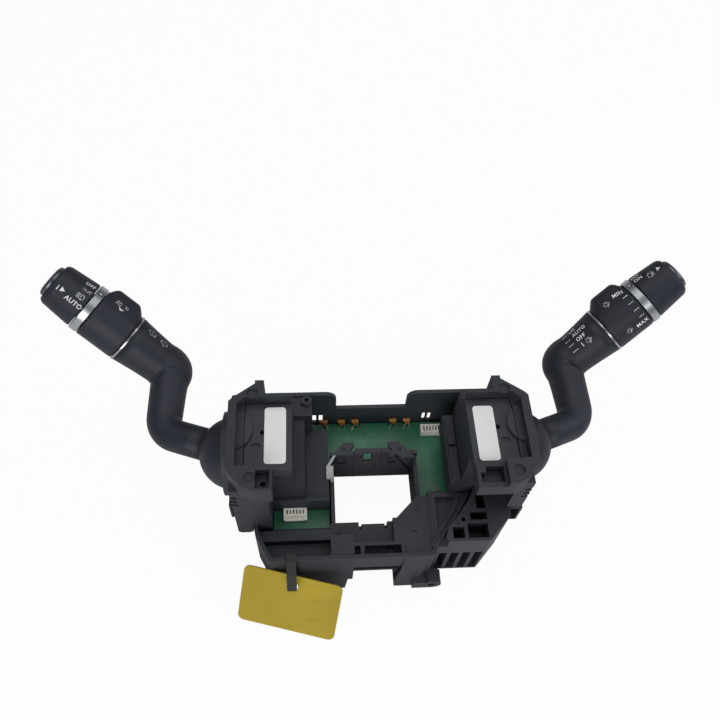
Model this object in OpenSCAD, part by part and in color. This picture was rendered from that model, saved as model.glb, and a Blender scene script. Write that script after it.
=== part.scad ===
// Combination stalk switch: a steering column housing that carries two cranked lever switches.
// Millimetres. +Z runs up the steering column to the driver, +Y is up in the vehicle and the
// column axis is the Z axis. The feet of the housing stand on Z = 0.

/* [Housing] */
// Height from the feet to the tower rims
housing_h = 110; // [100:1:125]
// Height of the rim frames on the towers
rim_h = 15; // [12:0.5:18]
// Height of the lower carrier
carrier_h = 45; // [43:1:48]
// Clear distance between the two towers
tower_gap = 100; // [96:1:112]
// Width of one tower
tower_w = 35; // [33:1:42]
// Column axis to the front face of the towers
tower_front = 27; // [25:1:30]
// Column axis to the back face of the rim frames
tower_back = 31; // [29:1:36]
// Column axis to the front face of the lower tower shells
shell_front = 5; // [4:0.5:6]
// Column axis to the back face of the lower tower shells
shell_back = 40; // [40:1:44]
// Column axis to the front wall of the carrier
front_reach = 44; // [42:1:46]
// How far the front legs stand out of the front wall
leg_out = 4.5; // [3:0.5:6]
// Column axis to the outside of the rear wall
rear_reach = 56; // [54:1:64]
// Width of the front wall to the left of the column axis
front_left = 64; // [60:1:66]
// Width of the front wall to the right of the column axis
front_right = 31.5; // [30:0.5:33]
// Wall thickness of the mouldings
wall = 2.4; // [2:0.1:3]

/* [Column opening] */
// Width of the opening for the steering column
opening_w = 51; // [46:1:54]
// Front edge of the opening, from the column axis
opening_front = 19.5; // [18:0.5:22]
// Back edge of the opening, from the column axis
opening_back = 22; // [19:1:23]
// Corner cut at the front right of the opening
opening_corner = 14; // [8:1:15]
// Height of the bracket wall behind the opening
bracket_h = 50; // [48:0.5:58]
// Radius of the two bracket screw holes
bracket_hole_r = 2.5; // [1.6:0.1:2.8]
// Distance between the two bracket screw holes
bracket_pitch = 33; // [28:1:36]

/* [Circuit board] */
// Underside of the circuit board
board_z = 27.2; // [25:0.2:29]
// Thickness of the circuit board
board_t = 1.6; // [1.2:0.1:2.4]
// Pin pitch of the board headers
header_pitch = 2; // [1.8:0.1:2.2]

/* [Ball joint] */
// Outer radius of the ball shroud at the root of a lever
ball_r = 21.5; // [20.5:0.5:22]
// Wall of the ball shroud
ball_wall = 1.8; // [1.4:0.1:2.4]
// Free room above and below the ball inside its tower
ball_room = 1.1; // [0.8:0.1:2]
// Ball centre above the column axis
ball_y = 14; // [12:0.5:18]
// Gap between the ball and its seat ring
seat_gap = 0.35; // [0.3:0.05:0.6]
// How far the seat ring stands out of the tower
seat_flange = 5; // [4:0.5:6]
// Radius of the gimbal pivots
pivot_r = 2.5; // [2:0.1:3]
// Radial clearance of pivots and turning fits
run_gap = 0.05; // [0.03:0.01:0.08]
// Side clearance between pieces that move past each other
side_gap = 0.35; // [0.3:0.05:0.5]

/* [Lever arm] */
// Sideways reach from the ball centre to the first bend
root_reach = 46.5; // [43:0.5:54]
// Rise from the ball centre to the first bend
root_rise = 20; // [16:1:24]
// Drop from the ball centre to the first bend
root_drop = 10; // [6:1:14]
// Rise from the first to the second bend
crank_rise = 42.5; // [38:0.5:48]
// Lift from the first to the second bend
crank_lift = 3.5; // [0:0.5:8]
// Inward lean of the crank
crank_in = 2; // [0:0.5:6]
// Radius of the first bend
first_bend_r = 14; // [13:0.5:18]
// Radius of the second bend
second_bend_r = 16; // [15:0.5:20]
// Extra thickness at the middle of the second bend
bend_bulge = 2; // [0:0.1:2.6]
// Length of the arm after the second bend
grip_run = 33; // [32:1:42]
// Turn of the grip towards the top of the vehicle
grip_turn = 27.5; // [20:0.5:35]
// Rise of the grip towards the driver
grip_lift = 34.7; // [28:0.5:42]
// Arm radius at the root
arm_root_r = 10; // [9:0.1:11]
// Arm radius along the crank
arm_crank_r = 11; // [10.2:0.1:12]
// Arm radius at the second bend
arm_bend_r = 13.7; // [12.5:0.1:14.5]

/* [Grip] */
// Radius of the grip
grip_r = 16.1; // [15.4:0.1:17]
// Radius of the knob at its free end
knob_end_r = 13.2; // [12.8:0.1:14.5]
// Radius of the knob beside the index ring
knob_base_r = 15.6; // [15:0.1:16]
// Thickness of the thin bright ring
trim_ring_t = 1.8; // [1.4:0.1:2.4]
// Length of the turning collar
collar_l = 23.6; // [21:0.2:28]
// Width of the bright index ring
index_ring_l = 6.6; // [5:0.2:8]
// Length of the end knob
knob_l = 21.9; // [19:0.1:25]
// Height of the thumb lobe on the collar
lobe_h = 4.3; // [3:0.1:5.5]
// Width of the thumb lobe
lobe_w = 11; // [8:0.5:13]
// Radius of the tube that carries collar and knob
spigot_r = 9; // [8:0.1:9.6]
// Radius of the end button stem
stem_r = 4.9; // [4:0.1:5.2]
// Radius of the end button
button_r = 10.4; // [9.6:0.1:11]
// How far the end button stands out of the knob
button_out = 3; // [2:0.1:4]
// Travel of the end button
button_travel = 1.5; // [1:0.1:1.8]

/* [Hidden] */
$fn = 64;

// Colours
black = [0.09, 0.10, 0.11];
satin = [0.16, 0.17, 0.19];
lever_black = [0.13, 0.14, 0.16];
bright = [0.80, 0.82, 0.84];
steel = [0.60, 0.61, 0.63];
board_green = [0.20, 0.36, 0.27];
nylon = [0.85, 0.84, 0.80];
amber = [0.72, 0.45, 0.16];
tag_yellow = [0.66, 0.56, 0.14];

// Wall of the seat ring round each ball, and the step of its flange
seat_wall = 1.6;
seat_step = 1.2;
seat_r = ball_r + seat_gap + seat_wall;

// Levels and reaches worked out from the driving sizes
eps = 0.01;
inner_x = tower_gap / 2;
outer_x = inner_x + tower_w;
side_x = outer_x - 4;
skirt_z = 3;
floor_z = 12;
floor_top = floor_z + wall;
board_top = board_z + board_t;
front_wall_z = 27;
deck_top = carrier_h - 7;
frame_top = carrier_h - 1;
opening_x = opening_w / 2;
ball_x = outer_x - 1;
shoulder_h = housing_h - rim_h;
ball_z = shoulder_h - wall - ball_room - ball_r;
ball = [ball_x, ball_y, ball_z];
block_top = housing_h - 8;
step_top = carrier_h + 17;

// Outline helpers

// Polygon moved inwards by d, for points given anticlockwise
function edge_normal(a, b) = [a.y - b.y, b.x - a.x] / norm(b - a);
function inset(pts, d) = [
    for (i = [0 : len(pts) - 1])
        let (
            before = pts[(i + len(pts) - 1) % len(pts)],
            after = pts[(i + 1) % len(pts)],
            n1 = edge_normal(before, pts[i]),
            n2 = edge_normal(pts[i], after)
        )
        pts[i] + d * (n1 + n2) / (1 + n1 * n2)
];

// Arc of [x, z] points about a centre
function arc(centre, r, a0, a1, n = 6) =
    [for (i = [0 : n]) let (a = a0 + (a1 - a0) * i / n) centre + r * [cos(a), sin(a)]];

// Straight prism over a plan outline between two heights
module prism(pts, z0, z1) {
    translate([0, 0, z0])
        linear_extrude(height = z1 - z0)
            polygon(pts);
}

// Box given by its two opposite corners
module block(a, b) {
    translate(a)
        cube(b - a);
}

// Plate in the XZ plane between two Y values, from an outline of [x, z] points
module upright(pts, y0, y1) {
    translate([0, y1, 0])
        rotate([90, 0, 0])
            linear_extrude(height = y1 - y0)
                polygon(pts);
}

// Plate in the YZ plane between two X values, from an outline of [y, z] points
module side_plate(pts, x0, x1) {
    translate([x0, 0, 0])
        rotate([90, 0, 90])
            linear_extrude(height = x1 - x0)
                polygon(pts);
}

// Cylinder along X or Y from a start point
module rod_x(p, r, l) {
    translate(p)
        rotate([0, 90, 0])
            cylinder(r = r, h = l);
}

module rod_y(p, r, l) {
    translate(p)
        rotate([-90, 0, 0])
            cylinder(r = r, h = l);
}

// Everything on a side is drawn for +X, and mirrored for the left
module on_side(side) {
    mirror([side < 0 ? 1 : 0, 0, 0])
        children();
}

// Room for the ball and for its seat ring, cut out of whatever stands round them
module ball_pocket() {
    translate(ball)
        sphere(r = ball_r + seat_gap, $fn = 96);
}

module seat_pocket() {
    rod_x([inner_x + tower_w / 2, ball_y, ball_z], seat_r + seat_step + side_gap, tower_w);
}

// Hang tag and its tie, which the carrier's front wall is slotted for

board_left = -63.5;
board_front = -19.3;
tie_w = 5.6;
tie_t = 1.2;
tag_hole = [-52.3, -53, 25.6];
tie_x = tag_hole.x;
tie_slot_z = deck_top + 0.5;

// Carrier: the lower tub with the column opening, the front deck and the feet

corner_cut = 8;
post_x = [outer_x - 9.7, outer_x - 0.5];
post_front = -21;
flank_x = post_x[0] - side_gap;
socket_x = front_right + 2.6;
socket_y = 6;
carrier_outline = [
    [-front_left, -front_reach],
    [front_right, -front_reach],
    [socket_x, -front_reach + 3],
    [socket_x, -socket_y],
    [side_x, -socket_y],
    [side_x, rear_reach - corner_cut],
    [side_x - corner_cut, rear_reach],
    [-side_x + corner_cut, rear_reach],
    [-side_x, rear_reach - corner_cut],
    [-side_x, -shell_front + side_gap],
    [-flank_x, -shell_front + side_gap],
    [-flank_x, post_front],
    [-flank_x + 1.4, -front_reach + 16],
    [-front_left - 2.5, -front_reach + 2.5]
];

opening_outline = [
    [-opening_x, -opening_front],
    [opening_x - opening_corner, -opening_front],
    [opening_x, -opening_front + opening_corner],
    [opening_x, opening_back],
    [-opening_x, opening_back]
];

leg_top = carrier_h - 1;
leg_back = front_reach - 15;
left_leg = [
    [-46, 0], [-20, 0], [-15, leg_top], [-48.6, leg_top]
];
right_leg = [
    [11, 0], [front_right - 7.5, 0], [front_right, leg_top], [15.5, leg_top]
];
leg_window_x = [-39.8, -30.8];
leg_window_z = [24.5, 34];
ear_x = front_right + 2.5;
ear_z = 8.5;
ear_r = 6;
ear_y = -front_reach - leg_out - 2.5;
ear_hole_r = 2.6;
housing_front = 39;
ear_relief = 1;
ear_back_room = 3.5;
ear_t = -housing_front - ear_back_room - ear_y;
rear_foot_x = 60;

module leg(pts) {
    foot_y = -front_reach - leg_out;
    difference() {
        intersection() {
            upright(pts, foot_y, -leg_back);
            side_plate([
                [foot_y, -1], [foot_y, 0], [-front_reach, leg_top],
                [-front_reach, carrier_h], [0, carrier_h], [0, -1]
            ], -side_x, side_x);
        }
        intersection() {
            upright(inset(pts, wall), foot_y, -leg_back + 1);
            side_plate([
                [foot_y + wall, -1], [foot_y + wall, 0], [-front_reach + wall, leg_top],
                [-front_reach + wall, carrier_h], [0, carrier_h], [0, -1]
            ], -side_x, side_x);
        }
        block([-side_x, -front_reach + wall, tray_z - eps], [frame_x[0], 0, carrier_h]);
    }
}

module rear_foot(x) {
    difference() {
        block([x - 9, rear_reach - 16, 0], [x + 9, rear_reach - wall, floor_z + eps]);
        block([x - 9 + wall, rear_reach - 16 + wall, -eps],
              [x + 9 - wall, rear_reach - 2 * wall, floor_z - wall]);
    }
}

// Front deck. Right of the opening it is a raised gusset and a frame with open pockets, in the
// middle it holds the tongue of the column clip, and left it is a tray with a cross beam
pocket_y = [-front_reach + wall + 0.4, -front_reach + 8];
pocket_x = [[-23, -11.5], [-9, 13], [15.2, 28.5]];
frame_x = [-opening_x - wall - 1, socket_x - wall];
frame_back = -front_reach + 10;
tongue_x = [-9.8, 4.4];
tongue_back = -opening_front - 4.5;
tongue_slot = 1.6;
tray_z = 31;
beam_y = [-29.7, -23.2];
pad_r = 4.7;
pad_place = [-62, -35.8];
gusset_x = 9;
deck_dimples = [[24.5, -14.5], [21.5, -29.5], [-24, -28]];

module front_deck() {
    difference() {
        union() {
            prism(inset(carrier_outline, wall - eps), tray_z - wall, tray_z);
            block([frame_x[0], -front_reach + wall - eps, tray_z - eps],
                  [frame_x[1] + eps, -opening_front - eps, deck_top]);
            block([frame_x[0], -front_reach + wall - eps, deck_top - eps],
                  [frame_x[1], frame_back, frame_top]);
            block([gusset_x, frame_back - eps, tray_z - eps], [frame_x[1] + eps, -socket_y, frame_top]);
            block([-flank_x + wall, beam_y[0], tray_z - eps], [frame_x[0] + eps, beam_y[1], deck_top]);
            translate([pad_place.x, pad_place.y, tray_z - eps])
                cylinder(r = pad_r, h = 0.8);
        }
        block([-side_x, board_front - 0.5, 0], [-opening_x, rear_reach, carrier_h]);
        block([-side_x, -socket_y, 0], [side_x, rear_reach, carrier_h]);
        prism(opening_outline, 0, carrier_h);
        block([frame_x[0] + wall, -front_reach + 2 * wall, tray_z - 2 * wall],
              [gusset_x - wall, -opening_front - 2 * wall, deck_top - wall]);
        block([gusset_x, -front_reach + 2 * wall, tray_z - 2 * wall],
              [frame_x[1] - wall, -opening_front - 2 * wall, frame_top - wall]);
        for (x = pocket_x)
            block([x[0], pocket_y[0], deck_top - wall - 1], [x[1], pocket_y[1], frame_top + 1]);
        difference() {
            block([tongue_x[0] - tongue_slot, tongue_back, deck_top - 3 * wall],
                  [tongue_x[1] + tongue_slot, -opening_front + 1, frame_top]);
            block([tongue_x[0], tongue_back - 1, deck_top - 4 * wall],
                  [tongue_x[1], tongue_back + 3.2, frame_top]);
        }
        for (p = deck_dimples)
            translate([p.x, p.y, p.x > gusset_x ? frame_top - 0.8 : deck_top - 0.8])
                cylinder(r = 2, h = 2);
    }
}

module column_frame() {
    difference() {
        prism(inset(opening_outline, -wall), floor_z, deck_top);
        prism(opening_outline, floor_z - 1, carrier_h);
        block([-opening_x - wall - 1, opening_back - eps, floor_top],
              [opening_x + wall + 1, opening_back + wall + 1, carrier_h]);
        block([tongue_x[0] - tongue_slot, -opening_front - wall - 1, deck_top - 3 * wall],
              [tongue_x[1] + tongue_slot, -opening_front + 1, carrier_h]);
    }
}

module board_ledge() {
    difference() {
        prism(inset(carrier_outline, wall - eps), floor_top - eps, board_z);
        prism(inset(carrier_outline, wall + 4), floor_top - 1, board_z + 1);
        block([-side_x, -front_reach, 0], [side_x, board_front, board_z + 1]);
    }
}

module carrier() {
    color(black)
        difference() {
            union() {
                difference() {
                    prism(carrier_outline, skirt_z, carrier_h);
                    prism(inset(carrier_outline, wall), floor_top, carrier_h + 1);
                    prism(inset(carrier_outline, wall), skirt_z - 1, floor_z);
                    block([-side_x, rear_reach - wall - eps, board_z - 3],
                          [side_x, rear_reach + 1, carrier_h + 1]);
                }
                front_deck();
                column_frame();
                board_ledge();
                leg(left_leg);
                leg(right_leg);
                for (s = [-1, 1])
                    rear_foot(s * rear_foot_x);
                block([-flank_x + wall - eps, post_front, floor_z],
                      [board_left - side_gap, -shell_front - side_gap, carrier_h]);
                block([board_left - side_gap - eps, -shell_front - wall, board_top + side_gap],
                      [frame_x[0], -shell_front - side_gap, carrier_h]);
                rod_y([ear_x, ear_y, ear_z], ear_r, ear_t);
                block([front_right - 9.5, ear_y, ear_z - ear_r], [ear_x, ear_y + ear_t, ear_z + 4]);
            }
            for (s = [-1, 1])
                on_side(s)
                    ball_pocket();
            block([leg_window_x[0], -front_reach - leg_out - 1, leg_window_z[0]],
                  [leg_window_x[1], -front_reach - leg_out + wall + eps, leg_window_z[1]]);
            prism(opening_outline, skirt_z - 1, carrier_h);
            block([-15, -front_reach - 1, skirt_z - 1],
                  [15.5, -front_reach + wall + eps, front_wall_z]);
            rod_y([ear_x, ear_y - 1, ear_z], ear_hole_r, ear_t + 2);
            rod_y([ear_x, ear_y + ear_t, ear_z], ear_hole_r + ear_relief, ear_back_room + side_gap);
            block([tie_x - tie_w / 2 - side_gap, -front_reach - 1, tie_slot_z],
                  [tie_x + tie_w / 2 + side_gap, -front_reach + wall + eps, tie_slot_z + 4]);
        }
}

// Bracket behind the opening: a wall with two screw holes and the window of the column latch, and
// two flat wings that lean back from its top edge

bracket_shift = -4;
bracket_hole_z = 36;
wing_z = bracket_h - 4;
wing_front = opening_back - 2.6;
wing_back = opening_back + 8.7;
bracket_middle = [-12.2, 9.5];
bracket_edge = opening_x + wall;
bracket_outline = [
    [-bracket_edge, floor_top],
    [bracket_edge, floor_top],
    [bracket_edge, wing_z],
    [bracket_middle[1], wing_z],
    [bracket_middle[1], bracket_h],
    [bracket_middle[0], bracket_h],
    [bracket_middle[0], wing_z],
    [-bracket_edge, wing_z]
];
left_wing = [
    [-opening_x, opening_back],
    [bracket_middle[0] - 6.2, opening_back],
    [bracket_middle[0], opening_back + 6.2],
    [bracket_middle[0], wing_back],
    [bracket_middle[0] - 6.7, wing_back],
    [-opening_x, opening_back + 1.5]
];
right_wing = [
    [bracket_middle[1], opening_back + 5.3],
    [bracket_middle[1] + 8, wing_front],
    [opening_x + 0.8, wing_front],
    [opening_x - 9.5, wing_back],
    [bracket_middle[1], wing_back]
];
wing_marks = [[-19, opening_back + 3.6], [16.3, opening_back + 2.8]];
rib_t = 1.2;
latch_x = [-9.6, 1.7];
latch_z = [31.4, 37];
latch_top = bracket_h - 3;
tab_w = 3;

module column_bracket() {
    color(satin)
        difference() {
            union() {
                upright(bracket_outline, opening_back, opening_back + wall);
                prism(left_wing, wing_z - wall, wing_z);
                prism(right_wing, wing_z - wall, wing_z);
                for (s = [-1, 1])
                    rod_y([bracket_shift + s * bracket_pitch / 2, opening_back - rib_t, bracket_hole_z],
                          bracket_hole_r + 1.2, rib_t + eps);
                for (x = [latch_x[0] - wall, latch_x[1]])
                    block([x, opening_back - rib_t, floor_top + 6], [x + wall, opening_back + eps, bracket_h]);
                for (x = [latch_x[0], latch_x[1] - tab_w])
                    block([x, opening_back - rib_t, latch_z[1]], [x + tab_w, opening_back + eps, latch_top + 2]);
                upright([
                    [bracket_middle[1] + 1, wing_z - eps],
                    [bracket_middle[1] + 3.5, wing_z - eps],
                    [opening_x - side_gap, floor_top + 6],
                    [opening_x - side_gap - 2.5, floor_top + 6]
                ], opening_back - rib_t, opening_back + eps);
            }
            for (s = [-1, 1])
                rod_y([bracket_shift + s * bracket_pitch / 2, opening_back - 3, bracket_hole_z],
                      bracket_hole_r, wall + 4);
            block([latch_x[0], opening_back - 3, latch_z[0]],
                  [latch_x[1], opening_back + wall + 1, latch_z[1]]);
            block([latch_x[0] + tab_w, opening_back - 3, latch_z[1] - eps],
                  [latch_x[1] - tab_w, opening_back + wall + 1, latch_top]);
            for (p = wing_marks)
                translate([p.x, p.y, wing_z - 1])
                    cylinder(r = 1.5, h = 2);
        }
}

// Rear wall with its two raised ends and the snap finger slots

wall_top = 67.5;
notch_top = 49.5;
finger_x = [-37.3, -33, 36, 39.7];
finger_w = 2.6;
finger_z = [30, 41];

notch_x = [-23, 22.5];
shoulder_r = 7;
rear_end = side_x - corner_cut;

module rear_wall() {
    color(satin)
        difference() {
            upright(concat(
                [[-rear_end, board_z - 3], [rear_end, board_z - 3], [rear_end, wall_top]],
                arc([notch_x[1] + shoulder_r, wall_top - shoulder_r], shoulder_r, 90, 180),
                [[notch_x[1], notch_top], [notch_x[0], notch_top]],
                arc([notch_x[0] - shoulder_r, wall_top - shoulder_r], shoulder_r, 0, 90),
                [[-rear_end, wall_top]]
            ), rear_reach - wall, rear_reach);
            for (x = finger_x)
                block([x - finger_w / 2, rear_reach - wall - 1, finger_z[0]],
                      [x + finger_w / 2, rear_reach + 1, finger_z[1]]);
        }
}

// Circuit board with its headers and capacitors

board_edge = wall + 0.5;
board_outline = [
    [board_left, board_front],
    [-opening_x - wall - 1, board_front],
    [-opening_x - wall - 1, opening_back + wall + 2],
    [opening_x + wall + 1, opening_back + wall + 2],
    [opening_x + wall + 1, -socket_y + board_edge],
    [side_x - board_edge, -socket_y + board_edge],
    [side_x - board_edge, rear_reach - corner_cut - 1],
    [side_x - corner_cut - 1, rear_reach - board_edge],
    [-side_x + corner_cut + 1, rear_reach - board_edge],
    [-side_x + board_edge, rear_reach - corner_cut - 1],
    [-side_x + board_edge, -shell_front + board_edge + side_gap],
    [board_left, -shell_front + board_edge + side_gap]
];

module circuit_board() {
    color(board_green)
        prism(board_outline, board_z, board_top);
}

// Pin header with n windows along X and a pin in each, from its front left corner on the board
module header(corner, n, depth, height) {
    width = n * header_pitch + 2.4;
    window = [header_pitch - 0.9, depth - 1.4];
    centre = corner + [width, depth] / 2;
    color(nylon)
        difference() {
            block([corner.x, corner.y, board_top], [corner.x + width, corner.y + depth, board_top + height]);
            for (i = [0 : n - 1])
                translate([centre.x + (i - (n - 1) / 2) * header_pitch, centre.y, board_top + height])
                    difference() {
                        block([-window.x / 2, -window.y / 2, 2 - height], [window.x / 2, window.y / 2, 1]);
                        block([-0.3, -0.3, 1 - height], [0.3, 0.3, -3]);
                    }
        }
}

module header_front() {
    depth = 4.6;
    latch = 2.4;
    corner = [-57.3, -shell_front - wall - side_gap - depth];
    header(corner, 6, depth, 6);
    color(nylon) {
        block([corner.x, corner.y - latch, board_top], [corner.x + 1.6, corner.y + eps, board_top + 3.4]);
        block([corner.x + 1, corner.y - latch, board_top], [corner.x + 13, corner.y + eps, board_top + 2.2]);
        block([corner.x + 12.8, corner.y - latch, board_top], [corner.x + 14.4, corner.y + eps, board_top + 3.4]);
    }
}

rear_header = [33.5, 42.5];

module header_rear() {
    header(rear_header, 8, 5.6, 6.5);
}

capacitor_x = [-31, -19.5, -10, 15, 24.5];

module capacitors() {
    color(amber)
        for (x = capacitor_x)
            translate([x, rear_reach - wall - 5, board_top])
                cylinder(r = 2.4, h = 7);
}

// Cover over the wiring to the left of the opening
module inner_cover() {
    x0 = -43.4;
    x1 = -opening_x - wall - 1;
    y0 = -5;
    y1 = 42;
    top = carrier_h - 2;
    color(black)
        difference() {
            block([x0, y0, board_top], [x1, y1, top]);
            block([x0 + wall, y0 + wall, board_top - 1], [x1 - wall, y1 - wall, top - wall]);
        }
}

// Light tab clipped on the frame beside the opening, with a strap to the bracket
tab_y = [7, 14.9];
module column_tab() {
    tab_x = -opening_x - wall;
    top = deck_top + 8;
    color([0.62, 0.62, 0.62]) {
        block([tab_x, tab_y[0], deck_top], [-opening_x - 0.5, tab_y[1], top]);
        block([tab_x - 2.5, tab_y[0], top - 2.6], [-opening_x - 0.5, tab_y[1], top]);
        prism([
            [tab_x - 2.3, tab_y[1] - eps],
            [tab_x - 0.3, tab_y[1] - eps],
            [-opening_x + 1.3, opening_back - 0.1],
            [-opening_x - 0.3, opening_back - 0.1]
        ], top - 1.2, top);
    }
}

// Connector housing at the front right: ribbed pockets on top, slots in its front face and a
// curved cable channel beside it

housing_x = [socket_x, 64.8];
housing_right = side_x - 2;
housing_top = carrier_h + 9;
band_z = 33;
slot_w = 4.9;
slot_in = 2.9;
slot_depth = 20;
slot_pitch = (housing_x[1] - housing_x[0] - slot_in - slot_w - 1) / 3;
connector_base = [
    [housing_x[0], -housing_front],
    [housing_x[1], -housing_front],
    [housing_right, -housing_front + 15],
    [housing_right, -socket_y],
    [housing_x[0], -socket_y]
];
rim_x = housing_x[0] + 4.5;
connector_rim = [
    [rim_x + 1.6, -housing_front],
    [housing_x[1], -housing_front],
    [housing_right, -housing_front + 15],
    [housing_right, -socket_y],
    [rim_x + 20, -socket_y],
    [rim_x + 18, -11],
    [rim_x + 13.4, -17.2],
    [rim_x + 9, -22.5],
    [rim_x + 2.4, -30],
    [rim_x, -36]
];
connector_pockets = [
    [[59, -19], [64.5, -9.4]],
    [[54.4, -26.1], [64.6, -20.8]],
    [[52, -37], [64.3, -27.9]],
    [[43, -37], [49.8, -30]]
];
pocket_depth = 19;
connector_boss = [49.8, -26];
channel_outer = [[57.6, -socket_y], [53, -13.4], [45.6, -23.6], [38, -33.4], [34, -39]];
channel_inner = [[50.2, -socket_y], [46.9, -15], [42.3, -22.5], [35.2, -31.5], [30.6, -38]];

sunk_field = [
    [socket_x + 1.6, -socket_y - 1.4],
    [socket_x + 1.6, channel_inner[3].y + 3],
    channel_inner[2] - [1.8, 0],
    channel_inner[1] - [1.8, 0],
    channel_inner[0] - [2.4, 1.4]
];

// Band between the two edges of the channel, from fraction a to fraction b of its width
function channel_band(a, b) = concat(
    [for (i = [0 : 4]) channel_inner[i] + b * (channel_outer[i] - channel_inner[i])],
    [for (i = [4 : -1 : 0]) channel_inner[i] + a * (channel_outer[i] - channel_inner[i])]
);

module connector_housing() {
    color(satin)
        difference() {
            union() {
                prism(connector_base, skirt_z - 2, carrier_h);
                prism(connector_rim, carrier_h - eps, housing_top);
                prism(channel_band(0, 1), carrier_h, carrier_h + 3);
                translate([connector_boss.x, connector_boss.y, housing_top - 9])
                    cylinder(r = 3.6, h = 10.2);
            }
            prism(channel_band(0.2, 0.8), carrier_h + 1.2, carrier_h + 4);
            for (p = connector_pockets)
                block([p[0].x, p[0].y, housing_top - pocket_depth], [p[1].x, p[1].y, housing_top + 1]);
            prism(sunk_field, carrier_h - 5, carrier_h + 1);
            for (i = [0 : 3])
                translate([housing_x[0] + slot_in + i * slot_pitch, -housing_front - 1, skirt_z - 0.6])
                    cube([slot_w, slot_depth + 1, band_z - skirt_z + 0.6]);
            ball_pocket();
            translate([connector_boss.x, connector_boss.y, housing_top - 8])
                cylinder(r = 1.4, h = 12);
        }
}

// Plug sockets low on the outer flanks
socket_wall = 1.2;
module flank_socket(x0, x1, y0, y1, z0, z1) {
    difference() {
        block([x0, y0, z0], [x1, y1, z1]);
        block([x0 + socket_wall, y0 - 1, z0 + socket_wall],
              [x1 - socket_wall, y1 - socket_wall, z1 - socket_wall]);
    }
}

// Switch towers: shells that carry the ball joints, drawn for +X

bar_half = 6;
bar_in = 9;
bar_t = 3;
cheek_t = 2.8;
gimbal_half_y = bar_half + 2;
tail_reach = 26;
half_tail = 11;
plunger_r = 2.5;
tower_outline = [
    [inner_x, -shell_front],
    [outer_x, -shell_front],
    [outer_x, shell_back - 1],
    [outer_x - 6, shell_back],
    [inner_x, shell_back]
];
shelf_drop = 29;
shelf_top = shoulder_h - shelf_drop;

// Front column of a tower, down to the carrier. Its outer part can hang on down to a rounded
// foot beside the carrier.
module post(x_in, base, foot) {
    r = 3;
    difference() {
        upright(concat(
            [[x_in, shoulder_h], [x_in, base]],
            foot < base ? concat(
                [[post_x[0], base]],
                arc([post_x[0] + r, foot + r], r, 180, 270),
                arc([post_x[1] - r, foot + r], r, 270, 360)
            ) : [[post_x[1], base]],
            [[post_x[1], shoulder_h]]
        ), post_front, -shell_front + eps);
        for (i = [0 : 2])
            translate([post_x[1] - 3.2, post_front - 1, shoulder_h - 21 + 5 * i])
                rotate([0, -25, 0])
                    cube([6, 2.2, 2.4]);
    }
}

// Rear shelf of a tower with its screw boss, between two X values
module shelf(x0, x1, boss_x) {
    back = rear_reach - wall;
    difference() {
        union() {
            block([x0, shell_back - eps, carrier_h], [x1, back, shelf_top]);
            translate([boss_x, back - 4, shelf_top - eps])
                cylinder(r = 3.3, h = 3);
        }
        block([x0 + wall, shell_back + wall, carrier_h - 1], [x1 - wall, back - wall, shelf_top - wall]);
        translate([boss_x, back - 4, shelf_top + 0.5])
            cylinder(r = 1.4, h = 4);
    }
}

module tower(post_in, post_base, post_foot) {
    color(black)
        difference() {
            union() {
                difference() {
                    union() {
                        difference() {
                            prism(tower_outline, carrier_h, shoulder_h);
                            prism(inset(tower_outline, wall), carrier_h + wall, shoulder_h - wall);
                        }
                        post(post_in, post_base, post_foot);
                    }
                    rod_x([outer_x - wall - eps, ball_y, ball_z], seat_r, 5 + wall);
                    ball_pocket();
                }
                for (s = [-1, 1])
                    translate([inner_x + wall - eps, ball_y - bar_half,
                               ball_z + s * (bar_in + bar_t / 2) - bar_t / 2])
                        cube([ball_x + 5 - inner_x - wall, 2 * bar_half, bar_t]);
                difference() {
                    block([inner_x + wall - eps, ball_y - 9, ball_z - 5],
                          [ball_x - tail_reach + 3, ball_y + 9, ball_z + 5]);
                    translate([ball_x, ball_y, ball_z - 6])
                        cylinder(r = tail_reach + side_gap, h = 12);
                }
            }
            translate([ball_x, ball_y, ball_z - bar_in - bar_t - 1])
                cylinder(r = pivot_r + run_gap, h = 2 * (bar_in + bar_t) + 2);
        }
}

// Step on the column side of each tower, with raised bars where it covers a connector
step_w = 6.5;
module tower_step(back) {
    block([inner_x - step_w, -shell_front, carrier_h], [inner_x + eps, back, step_top]);
}

module left_tower() {
    on_side(-1) {
        tower(-board_left + side_gap, carrier_h, tray_z);
        color(black) {
            tower_step(rear_reach - wall);
            shelf(inner_x - 11.5, outer_x - 16, inner_x - 8);
        }
    }
}

right_foot = carrier_h + 15;
module right_tower() {
    tower(post_x[0], right_foot, right_foot);
    color(black) {
        tower_step(shell_back);
        for (y = [[-4, 17], [19, 37]])
            block([inner_x - step_w + 1, y[0], step_top - eps], [inner_x - 0.6, y[1], step_top + 2.5]);
        shelf(inner_x + 5, outer_x - 12, outer_x - 19);
    }
}

// Ring round each ball, with a spherical seat
module seat_ring() {
    color(satin)
        difference() {
            union() {
                rod_x([outer_x - wall, ball_y, ball_z], seat_r, wall + eps);
                rod_x([outer_x, ball_y, ball_z], seat_r + seat_step, seat_flange);
            }
            ball_pocket();
        }
}

// Rim frame on each tower, open towards the column for the switch block

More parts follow.
